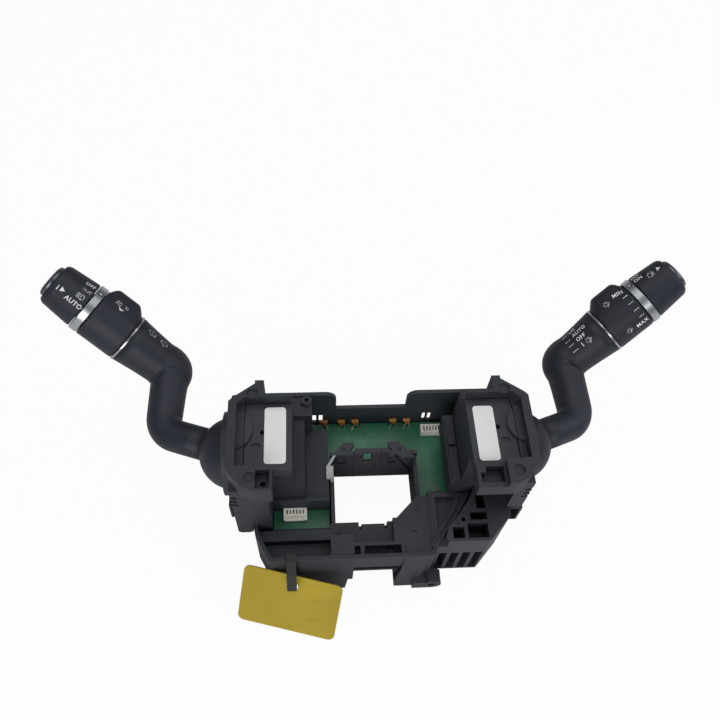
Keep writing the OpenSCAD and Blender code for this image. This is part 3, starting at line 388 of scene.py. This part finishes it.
def legend_ink():
    """White ink of the legends, with a little wear."""
    f = Finish("legend_white_ink")
    wear = f.noise(1400, 2).clipped(0.3, 0.7)
    f.paint("Base Color", f.blend(wear, (0.70, 0.72, 0.74), (0.80, 0.82, 0.83)))
    f.paint("Roughness", 0.5 + wear * 0.15)
    return f.material


# Each housing finish has a lighter edge colour: partly wear, partly a painted highlight.
housing = grained_plastic(
    "housing_grained_black", (0.0185, 0.0225, 0.0310), worn_and_highlit=(0.056, 0.066, 0.080), rough=0.55)
satin = grained_plastic(
    "housing_satin_black", (0.0240, 0.0285, 0.0380), worn_and_highlit=(0.066, 0.076, 0.090), rough=0.50,
    grain=5200, depth=0.000014)
lever = lever_plastic()
bright = plated("ring_bright_plate", (0.46, 0.48, 0.52), 0.15)
silver = plated("index_satin_silver", (0.50, 0.53, 0.57), 0.22)
cap_metal = plated("cap_smoked_plate", (0.15, 0.162, 0.19), 0.26)
turned_steel = plated("pivot_turned_steel", (0.55, 0.55, 0.56), 0.3)
tinned = plated("lead_tinned", (0.62, 0.61, 0.57), 0.3)
board_green = solder_mask()
natural_nylon = plain_plastic("header_natural_nylon", (0.88, 0.86, 0.79), 0.42)
amber_dip = plain_plastic("capacitor_amber_dip", (0.40, 0.17, 0.03), 0.26, spread=0.25)
tab_grey = plain_plastic("tab_milky_grey", (0.40, 0.40, 0.41), 0.4)
tie_black = plain_plastic("tie_black_nylon", (0.009, 0.009, 0.010), 0.5)
chip_black = plain_plastic("chip_dark_epoxy", (0.03, 0.03, 0.032), 0.5)
tag_yellow = tag_card()
label_white = paper_label()
ink = legend_ink()

CAD_FINISH = {
    "carrier": housing, "left_tower": housing, "right_tower": housing,
    "left_rim": housing, "right_rim": housing, "inner_cover": housing,
    "column_bracket": satin, "rear_wall": satin, "connector_housing": satin,
    "left_socket": satin, "right_socket": satin, "left_block": satin, "right_block": satin,
    "left_seat": satin, "right_seat": satin, "circuit_board": board_green,
    "header_front": natural_nylon, "header_rear": natural_nylon, "capacitors": amber_dip,
    "column_tab": tab_grey, "cable_tie": tie_black, "hang_tag": tag_yellow,
}
SIDE_FINISH = {
    "gimbal": natural_nylon, "plunger": turned_steel, "pivot": turned_steel, "shroud": lever,
    "arm": lever, "spigot": natural_nylon, "trim_ring": bright, "index_ring": silver,
    "collar": lever, "knob": lever, "button": cap_metal,
}
for side in SIDES:
    for part, finish in SIDE_FINISH.items():
        CAD_FINISH[f"{side}_{part}"] = finish
for name, finish in CAD_FINISH.items():
    slots = cad[name].data.materials
    slots.clear()
    slots.append(finish)

# Making and fitting pieces


def settle(piece, name, finish, body, smooth=None):
    """Applies a piece's place to its mesh, gives it its finish and lets it ride on a body."""
    drop_selection()
    piece.select_set(True)
    bpy.context.view_layer.objects.active = piece
    bpy.ops.object.transform_apply(location=True, rotation=True, scale=True)
    if smooth:
        bpy.ops.object.shade_smooth_by_angle(angle=math.radians(smooth))
    piece.name = piece.data.name = name
    piece.data.materials.clear()
    piece.data.materials.append(finish)
    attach(piece, body)
    return piece


def joined(pieces):
    """Joins pieces into the first of them."""
    drop_selection()
    for piece in pieces:
        piece.select_set(True)
    bpy.context.view_layer.objects.active = pieces[0]
    bpy.ops.object.join()
    return bpy.context.object


def edit_all(piece):
    drop_selection()
    piece.select_set(True)
    bpy.context.view_layer.objects.active = piece
    bpy.ops.object.mode_set(mode="EDIT")
    bpy.ops.mesh.select_all(action="SELECT")


def leave_edit():
    bpy.ops.object.mode_set(mode="OBJECT")


def pick(piece, wanted):
    """Opens a piece for editing with only the vertices that pass a test selected."""
    edit_all(piece)
    bpy.ops.mesh.select_mode(type="VERT")
    bpy.ops.mesh.select_all(action="DESELECT")
    leave_edit()
    for vertex in piece.data.vertices:
        vertex.select = bool(wanted(vertex))
    bpy.ops.object.mode_set(mode="EDIT")


def add_modifier(piece, kind, **settings):
    drop_selection()
    piece.select_set(True)
    bpy.context.view_layer.objects.active = piece
    modifier = piece.modifiers.new(kind.lower(), kind)
    for key, value in settings.items():
        setattr(modifier, key, value)
    bpy.ops.object.modifier_apply(modifier=modifier.name)


def block(low, high, bevel=0.0):
    """Box between two corners in mm, with bevelled edges if they are asked for."""
    drop_selection()
    centre = [(a + b) / 2 * MM for a, b in zip(low, high)]
    bpy.ops.mesh.primitive_cube_add(size=1, location=centre)
    piece = bpy.context.object
    piece.scale = [(b - a) * MM for a, b in zip(low, high)]
    bpy.ops.object.transform_apply(location=False, rotation=False, scale=True)
    if bevel:
        edit_all(piece)
        bpy.ops.mesh.bevel(offset=bevel * MM, segments=2)
        leave_edit()
    return piece


def rod(start, end, radius, sides, taper=1.0):
    """Round bar between two points in mm, its far end's radius scaled by the taper."""
    drop_selection()
    a, b = Vector(start) * MM, Vector(end) * MM
    bpy.ops.mesh.primitive_cone_add(
        vertices=sides, radius1=radius * MM, radius2=radius * taper * MM,
        depth=(b - a).length, location=(a + b) / 2)
    piece = bpy.context.object
    piece.rotation_mode = "QUATERNION"
    piece.rotation_quaternion = (b - a).to_track_quat("Z", "Y")
    bpy.ops.object.transform_apply(location=False, rotation=True, scale=False)
    return piece


# Smooth stalk arms over the faceted CAD sweep


def smooth_arm(side):
    """A copy of the arm, merged and subdivided once, with its sharp ends kept by creases."""
    source = cad[f"{side}_arm"]
    drop_selection()
    arm = source.copy()
    arm.data = source.data.copy()
    bpy.context.collection.objects.link(arm)
    arm.parent = None
    edit_all(arm)
    bpy.ops.mesh.remove_doubles(threshold=0.00002)
    bpy.ops.mesh.dissolve_limited(angle_limit=math.radians(1))
    bpy.ops.mesh.select_all(action="DESELECT")
    bpy.ops.mesh.select_mode(type="EDGE")
    bpy.ops.mesh.edges_select_sharp(sharpness=math.radians(50))
    bpy.ops.transform.edge_crease(value=1)
    leave_edit()
    add_modifier(arm, "SUBSURF", levels=1, render_levels=1)
    settle(arm, f"{side}_arm_skin", lever, f"{side}_lever", smooth=50)
    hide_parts(f"{side}_arm")


# Grip rings and thumb collar: one outline led along the grip, ring by ring, in mm and degrees

BORE_R = 9.05
COLLAR = (0.3, 25.1)
INDEX_RING = (25.4, 30.8)
INDEX_MIDDLE = 28.1
LOBE_HEIGHT = 4.6
LOBE_HALF_TOP = 3.2
LOBE_SOFTENING = 5
RING_SIDES = 96


def lobe_reach(off, height):
    """Radius of a round with a flat-topped lobe, at an angle in degrees off the lobe's middle."""
    corner = math.hypot(LOBE_HALF_TOP, height)
    if corner <= GRIP_R:
        return GRIP_R
    flat_end = math.degrees(math.atan2(LOBE_HALF_TOP, height))
    flank_end = flat_end + math.degrees(math.acos(GRIP_R / corner))
    off = abs(off)
    if off <= flat_end:
        return height / math.cos(math.radians(off))
    if off <= flank_end:
        return GRIP_R / math.cos(math.radians(flank_end - off))
    return GRIP_R


def softened_reach(off, height):
    """The lobe's radius averaged over a few degrees, which rounds its corners."""
    steps = (-2, -1, 0, 1, 2)
    return sum(lobe_reach(off + step * LOBE_SOFTENING / 2, height) for step in steps) / len(steps)


def turned_piece(name, side, stations, finish, body):
    """Tube on the grip: a circle extruded through (along, radius, lobe height) stations."""
    drop_selection()
    bpy.ops.mesh.primitive_circle_add(vertices=RING_SIDES, radius=1, fill_type="NOTHING")
    piece = bpy.context.object
    turns = [360 * i / RING_SIDES for i in range(RING_SIDES)]

    def place_ring(ring, along, radius, lobe):
        for vertex, turn in zip(ring, turns):
            reach = radius
            if lobe:
                off = (turn - LOBE_TURN + 180) % 360 - 180
                reach += softened_reach(off, lobe) - GRIP_R
            vertex.co = (GRIP_BASE + along * GRIP + reach * outward(turn)) * MM

    for index, station in enumerate(stations):
        if index:
            first = len(piece.data.vertices) - RING_SIDES
            pick(piece, lambda vertex: vertex.index >= first)
            bpy.ops.mesh.extrude_region()
            leave_edit()
        place_ring(piece.data.vertices[-RING_SIDES:], *station)
    edit_all(piece)
    bpy.ops.mesh.remove_doubles(threshold=0.000001)
    if side == "left":
        bpy.ops.transform.resize(value=(-1, 1, 1), center_override=(0, 0, 0))
    bpy.ops.mesh.select_all(action="SELECT")
    bpy.ops.mesh.normals_make_consistent(inside=False)
    leave_edit()
    return settle(piece, name, finish, body, smooth=40)


def ring_stations(ends, edge, lobe=()):
    """Closed row of stations: the edge that both ends share, with the lobe between them."""
    start, end = ends
    stations = [(start + inset, radius, 0) for inset, radius in edge]
    stations += [(along, GRIP_R, height) for along, height in lobe]
    stations += [(end - inset, radius, 0) for inset, radius in reversed(edge)]
    return stations + stations[:1]


def dress_grip(side):
    """Collar whose thumb lobe runs into its round, and the narrow index ring beside it."""
    start, end = COLLAR
    top = GRIP_R + LOBE_HEIGHT
    lobe = [
        (start + 2.2, GRIP_R + 1.6), (start + 4.3, top - 0.9), (start + 5.2, top - 0.25),
        (start + 6.4, top), (end - 5.4, top - 0.15), (end - 4.2, top - 0.5),
        (end - 3.2, top - 1.2), (end - 1.8, GRIP_R + 1.7),
    ]
    round_edge = [(0, BORE_R), (0, GRIP_R - 0.8), (0.25, GRIP_R - 0.25), (0.8, GRIP_R)]
    collar = turned_piece(f"{side}_collar_skin", side, ring_stations(COLLAR, round_edge, lobe),
                          lever, f"{side}_collar_body")
    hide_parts(f"{side}_collar")
    cut_edge = [(0, BORE_R), (0, GRIP_R - 0.5), (0.5, GRIP_R + 0.1)]
    ring = turned_piece(f"{side}_index_ring_skin", side, ring_stations(INDEX_RING, cut_edge),
                        silver, f"{side}_lever")
    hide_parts(f"{side}_index_ring")


# Labels


def press_label(name, low, high, thickness=0.12, round_off=2.0):
    """Blank label with round corners on a switch block, from two opposite corners in mm."""
    (x0, y0), (x1, y1) = low, high
    middle = ((x0 + x1) / 2 * MM, (y0 + y1) / 2 * MM, BLOCK_TOP * MM)
    drop_selection()
    bpy.ops.mesh.primitive_plane_add(size=1, location=middle)
    label = bpy.context.object
    label.scale = ((x1 - x0) * MM, (y1 - y0) * MM, 1)
    bpy.ops.object.transform_apply(location=False, rotation=False, scale=True)
    edit_all(label)
    bpy.ops.mesh.bevel(offset=round_off * MM, segments=6, affect="VERTICES")
    bpy.ops.mesh.select_all(action="SELECT")
    bpy.ops.mesh.extrude_region_move(TRANSFORM_OT_translate={"value": (0, 0, thickness * MM)})
    bpy.ops.mesh.select_all(action="SELECT")
    bpy.ops.mesh.normals_make_consistent(inside=False)
    leave_edit()
    settle(label, name, label_white, "housing")


# Legends: flat outlines laid out in mm, pressed on the round of a grip

FONT_PER_HEIGHT = 1.38
STROKE_GAIN_PER_HEIGHT = 0.034
LETTER_SPACING = 1.1
START_ABOVE = 1.2
LEGEND_BODY = {"arm": "lever", "collar": "collar_body", "knob": "knob_body", "index_ring": "lever"}


def grip_frame(side, along, turn, radius):
    """Where a legend sits: baseline, up and outward directions on one side's grip."""
    angle = math.radians(turn)
    out = outward(turn)
    up = GRIP_UP * math.cos(angle) - GRIP_OUT * math.sin(angle)
    base = GRIP
    place = GRIP_BASE + along * GRIP + radius * out
    if side == "left":
        flip = Matrix.Scale(-1, 3, (1, 0, 0))
        place, out, up, base = flip @ place, flip @ out, flip @ up, -(flip @ base)
    turn_to = Matrix((base, up, out)).transposed().to_4x4()
    return Matrix.Translation(place * MM) @ turn_to


def lettering(words, height):
    """Plain letters of a height in mm, a little bolder and wider spaced than the font."""
    drop_selection()
    bpy.ops.object.text_add()
    text = bpy.context.object
    text.data.body = words
    text.data.size = height * FONT_PER_HEIGHT * MM
    text.data.align_x, text.data.align_y = "CENTER", "CENTER"
    text.data.resolution_u = 3
    text.data.offset = STROKE_GAIN_PER_HEIGHT * height * MM
    text.data.space_character = LETTER_SPACING
    bpy.ops.object.convert(target="MESH")
    return bpy.context.object


def outline(points, width, closed=False):
    """Drawn line of an even width through [x, y] points in mm, almost flat."""
    curve = bpy.data.curves.new("stroke", "CURVE")
    curve.dimensions = "3D"
    spline = curve.splines.new("POLY")
    spline.points.add(len(points) - 1)
    for point, (x, y) in zip(spline.points, points):
        point.co = (x * MM, y * MM, 0, 1)
    spline.use_cyclic_u = closed
    curve.bevel_depth = width / 2 * MM
    curve.bevel_resolution = 0
    stroke = bpy.data.objects.new("stroke", curve)
    bpy.context.collection.objects.link(stroke)
    drop_selection()
    stroke.select_set(True)
    bpy.context.view_layer.objects.active = stroke
    bpy.ops.object.convert(target="MESH")
    stroke.scale = (1, 1, 0.12)
    bpy.ops.object.transform_apply(location=False, rotation=False, scale=True)
    return stroke


def solid_shape(points):
    """Filled flat outline through [x, y] points in mm."""
    drop_selection()
    bpy.ops.mesh.primitive_circle_add(vertices=len(points), radius=MM, fill_type="NGON")
    shape = bpy.context.object
    for vertex, (x, y) in zip(shape.data.vertices, points):
        vertex.co = (x * MM, y * MM, 0)
    return shape


def rectangle(half_width, half_height):
    """Corners of a rectangle about the middle, in mm."""
    return [(sx * half_width, sy * half_height) for sx, sy in ((-1, -1), (1, -1), (1, 1), (-1, 1))]


def arc_points(centre, radius, start, end, steps, squash=1.0):
    """Points of an arc between two angles in degrees, its height scaled by the squash."""
    angles = [math.radians(start + (end - start) * i / steps) for i in range(steps + 1)]
    return [(centre[0] + radius * math.cos(angle), centre[1] + squash * radius * math.sin(angle))
            for angle in angles]


def beam_lamp(rays, tilt, fog=False):
    """Lamp pictogram: a D with rays, which a wavy line crosses for fog."""
    lamp = arc_points((0.2, 0), 1.5, 90, -90, 10, 1.1) + [(-0.2, -1.65), (-0.2, 1.65)]
    parts = [outline(lamp, 0.5, closed=True)]
    for i in range(rays):
        y = 1.35 - i * 2.7 / (rays - 1)
        parts.append(outline([(-0.95, y), (-3.1, y - tilt)], 0.46))
    if fog:
        wave = [(-2.0 + 0.3 * math.sin(3 * t), 1.9 - t * 0.65) for t in range(7)]
        parts.append(outline(wave, 0.36))
    return parts


def side_lamps():
    """Side lamp pictogram: two small lamps back to back, each with three rays."""
    parts = []
    for s in (-1, 1):
        lamp = [(s * x, y) for x, y in arc_points((0.55, 0), 0.85, 90, -90, 6)]
        parts.append(outline(lamp, 0.34, closed=True))
        for tilt in (-0.8, 0, 0.8):
            parts.append(outline([(s * 1.75, tilt), (s * 2.9, tilt * 1.6)], 0.32))
    return parts


def screen_wiper(rear=False):
    """Wiper pictogram: a windscreen or a rear window with its blade and three jets."""
    if rear:
        screen = rectangle(1.9, 1.4)
    else:
        screen = arc_points((0, -2.1), 3.8, 130, 50, 8) + arc_points((0, -2.1), 1.7, 50, 130, 4)
    parts = [outline(screen, 0.46, closed=True), outline([(0, -1.9), (1.2, 0.9)], 0.46)]
    for s in (-1, 0, 1):
        parts.append(outline([(s * 0.7, 2.2), (s * 1.3, 3.0)], 0.34))
    return parts


def turn_arrow(direction):
    """Outlined turn arrow."""
    d = direction
    arrow = [(2.1 * d, 0), (0.1 * d, 1.9), (0.1 * d, 0.85), (-1.7 * d, 0.85),
             (-1.7 * d, -0.85), (0.1 * d, -0.85), (0.1 * d, -1.9)]
    return [outline(arrow, 0.4, closed=True)]


def press_legend(name, parts, side, node, along, turn, radius,
                 spin=0.0, size=1.0, finish=ink, lift=0.04):
    """Lays a legend over a grip and presses it on to the node under it.

    It lies so far along the grip in mm, turned about it in degrees, and starts just over a
    radius in mm. The spin turns it on the spot, and the lift holds it clear of the surface.
    """
    legend = joined(parts) if len(parts) > 1 else parts[0]
    edit_all(legend)
    bpy.ops.mesh.quads_convert_to_tris()
    bpy.ops.mesh.subdivide(number_cuts=1)
    leave_edit()
    spin_by = Matrix.Rotation(math.radians(spin), 4, "Z") @ Matrix.Scale(size, 4)
    legend.matrix_world = grip_frame(side, along, turn, radius + START_ABOVE) @ spin_by
    bpy.context.view_layer.update()
    target = bpy.data.objects.get(f"{side}_{node}_skin") or cad[f"{side}_{node}"]
    add_modifier(legend, "SHRINKWRAP", target=target, wrap_method="PROJECT", use_project_z=True,
                 use_negative_direction=True, use_positive_direction=False, offset=lift * MM)
    settle(legend, f"{side}_{name}", finish, f"{side}_{LEGEND_BODY[node]}")


def press_index_mark(side, turn):
    """Index mark on the bright ring: a dark window with a white bar over it."""
    radius = GRIP_R + 0.3
    press_legend("index_window", [solid_shape(rectangle(1.5, 1.25))],
                 side, "index_ring", INDEX_MIDDLE, turn, radius, finish=chip_black)
    press_legend("index_bar", [solid_shape(rectangle(0.85, 0.5))],
                 side, "index_ring", INDEX_MIDDLE, turn, radius, lift=0.1)


def left_legends():
    """Lamp, fog lamp and turn signal legends."""
    side = "left"
    info_arrow = [(-1.1, 1.6), (-1.1, -1.6), (1.8, 0)]
    fog_arrow = [(-2.3, 0.9), (0, -1.2), (2.3, 0.9), (0, 0.25)]
    press_legend("info_mark", [lettering("i", 3.2)], side, "knob", 49.1, -26, 14.1)
    press_legend("info_pointer", [solid_shape(info_arrow)], side, "knob", 46.2, -24, 14.2)
    press_legend("lamp_off", [lettering("OFF", 2.5)], side, "knob", 35.6, 27, 15.1)
    press_legend("side_lamp_mark", side_lamps(), side, "knob", 35.3, 8, 15.1, size=0.95)
    press_legend("head_lamp_mark", beam_lamp(5, 0), side, "knob", 35.6, -12, 15.1)
    press_legend("lamp_auto", [lettering("AUTO", 2.8)], side, "knob", 37.1, -32.6, 15.1)
    press_legend("fog_front_mark", beam_lamp(3, 0.5, fog=True),
                 side, "collar", 16.2, 30.5, 20, spin=-12, size=0.78)
    press_legend("fog_rear_mark", beam_lamp(3, 0, fog=True),
                 side, "collar", 10.9, 31.5, 20, spin=-12, size=0.5)
    press_legend("fog_pointer", [solid_shape(fog_arrow)], side, "collar", 13.7, 21, 18, spin=-8)
    press_legend("turn_up", turn_arrow(-1), side, "arm", -10.3, 26.9, 15.5, spin=-8, size=1.35)
    press_legend("turn_down", turn_arrow(1), side, "arm", -19.6, 27, 15.1, spin=-8, size=1.35)


def right_legends():
    """Wiper, washer and interval legends."""
    side = "right"
    rear_arrow = [(-1.4, -1.3), (1.5, -0.2), (-0.5, 1.9)]
    press_legend("rear_pointer", [solid_shape(rear_arrow)], side, "knob", 47.9, 21, 14.1)
    press_legend("rear_wiper_mark", screen_wiper(rear=True), side, "knob", 42.2, 19, 14.6)
    press_legend("rear_interval", [lettering("INT", 2.4)], side, "knob", 34.6, 46, 15.2)
    press_legend("rear_on", [lettering("ON", 2.6)], side, "knob", 34.9, 31, 15.3)
    press_legend("interval_min", [lettering("MIN", 2.7)], side, "collar", 19.4, 29.6, 20, spin=-10)
    press_legend("interval_max", [lettering("MAX", 2.7)], side, "collar", 19.4, -62, 16.4)
    for i, turn in enumerate((12.2, -7.5, -26.4, -45.2)):
        tick = outline([(-1.8, 0), (1.8, 0)], 0.62)
        press_legend(f"interval_tick_{i + 1}", [tick], side, "collar", 21.6, turn, 18)
    press_legend("interval_slow_mark", screen_wiper(), side, "collar", 10.2, 24.5, 20, size=0.9)
    press_legend("interval_fast_mark", screen_wiper(), side, "collar", 10.4, -60, 16.4, size=0.9)
    for i, turn in enumerate((42, 20.7, 4.8, -13.3)):
        tick = outline([(-2.1, 0), (2.1, 0)], 0.58)
        press_legend(f"wiper_tick_{i + 1}", [tick], side, "arm", -23.0, turn, 14.9)
    press_legend("wiper_low", [lettering("LO", 2.4)], side, "arm", -17, 41, 15.3)
    press_legend("wiper_auto", [lettering("AUTO", 2.5)], side, "arm", -13.6, 23.6, 15.5)
    press_legend("wiper_off", [lettering("OFF", 2.6)], side, "arm", -15.2, 5.5, 15.4)
    press_legend("wiper_once", [lettering("1", 2.8)], side, "arm", -17.2, -12.5, 15.3)
    press_legend("wiper_mark", screen_wiper(), side, "arm", -12.5, -15, 15.5, size=0.9)


# Circuit board fittings, in mm: a capacitor's foot stands off its top by FOOT_X and FOOT_Y

IN_BOARD = BOARD_TOP - 0.1
CAPACITOR_X = (-31, -19.3, -10.2, 15.2, 24.5)
CAPACITOR_Y = 52.2
CAPACITOR_BASE = BOARD_TOP + 2.2
CAPACITOR_TOP = BOARD_TOP + 6.6
CAPACITOR_HALF_W = 2.6
CAPACITOR_HALF_D = 1.2
FOOT_X = 0.9
FOOT_Y = -1.1
LEAD_R = 0.3
SOLDER_R = 0.9
RESISTOR_SIZE = (1.5, 1.1, 0.7)
RESISTOR_PLACES = ((38.9, 5.4), (41.8, 3.7), (41.6, 1.8), (46.1, 1.4), (38.9, 0.7))


def capacitor(x, y, index):
    """Dipped capacitor: a wide-topped wedge that leans over its two formed leads."""
    body = block((x - CAPACITOR_HALF_W, y - CAPACITOR_HALF_D, CAPACITOR_BASE),
                 (x + CAPACITOR_HALF_W, y + CAPACITOR_HALF_D, CAPACITOR_TOP))
    foot = min(vertex.co.z for vertex in body.data.vertices) + 0.1 * MM
    pick(body, lambda vertex: vertex.co.z < foot)
    bpy.ops.transform.resize(value=(0.5, 0.55, 1))
    bpy.ops.transform.translate(value=(FOOT_X * MM, FOOT_Y * MM, 0))
    bpy.ops.mesh.select_all(action="SELECT")
    bpy.ops.mesh.bevel(offset=0.55 * MM, segments=4)
    leave_edit()
    settle(body, f"capacitor_{index}", amber_dip, "housing", smooth=50)
    leads = []
    for s in (-1, 1):
        root = (x + FOOT_X + s * 0.7, y + FOOT_Y, CAPACITOR_BASE + 0.6)
        hole_x, hole_y = x + 0.4 + s * 2.2, y - 2.6
        sunk = (hole_x, hole_y, IN_BOARD)
        leads.append(rod(root, (hole_x, hole_y, BOARD_TOP + 1.2), LEAD_R, 10))
        leads.append(rod((hole_x, hole_y, BOARD_TOP + 1.4), sunk, LEAD_R, 10))
        leads.append(rod(sunk, (hole_x, hole_y, BOARD_TOP + 0.7), SOLDER_R, 12, taper=0.4))
    settle(joined(leads), f"capacitor_leads_{index}", tinned, "housing", smooth=60)
    return body


def board_resistor(x, y, index):
    """Small soldered part lying on the board."""
    w, d, h = RESISTOR_SIZE
    body = block((x - w / 2, y - d / 2, IN_BOARD), (x + w / 2, y + d / 2, BOARD_TOP + h), 0.12)
    settle(body, f"board_resistor_{index}", amber_dip, "housing")


# The studio

stand_camera()
hang_softbox("front_window", (-0.15, -1.1, 0.55), size=(1.2, 0.7), watts=8.2)
hang_softbox("top_panel", (0.0, 0.25, 1.3), size=(1.4, 1.2), watts=6.8)
hang_softbox("side_panel", (0.95, 0.1, 0.7), size=(0.7, 0.7), watts=2.4)
paint_room()
lay_floor()

# The part's own pieces

for side in SIDES:
    smooth_arm(side)
    dress_grip(side)
left_legends()
right_legends()
press_index_mark("left", 21)
press_index_mark("right", 28)
press_label("left_label", (-65.2, -8.3), (-53.2, 26.5))
press_label("right_label", (53.4, -9.9), (65.2, 24.4))
caps = [capacitor(x, CAPACITOR_Y, i + 1) for i, x in enumerate(CAPACITOR_X)]
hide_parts("capacitors")
for i, (x, y) in enumerate(RESISTOR_PLACES):
    board_resistor(x, y, i + 1)

bpy.context.scene.view_settings.view_transform = "Standard"
bpy.context.view_layer.update()
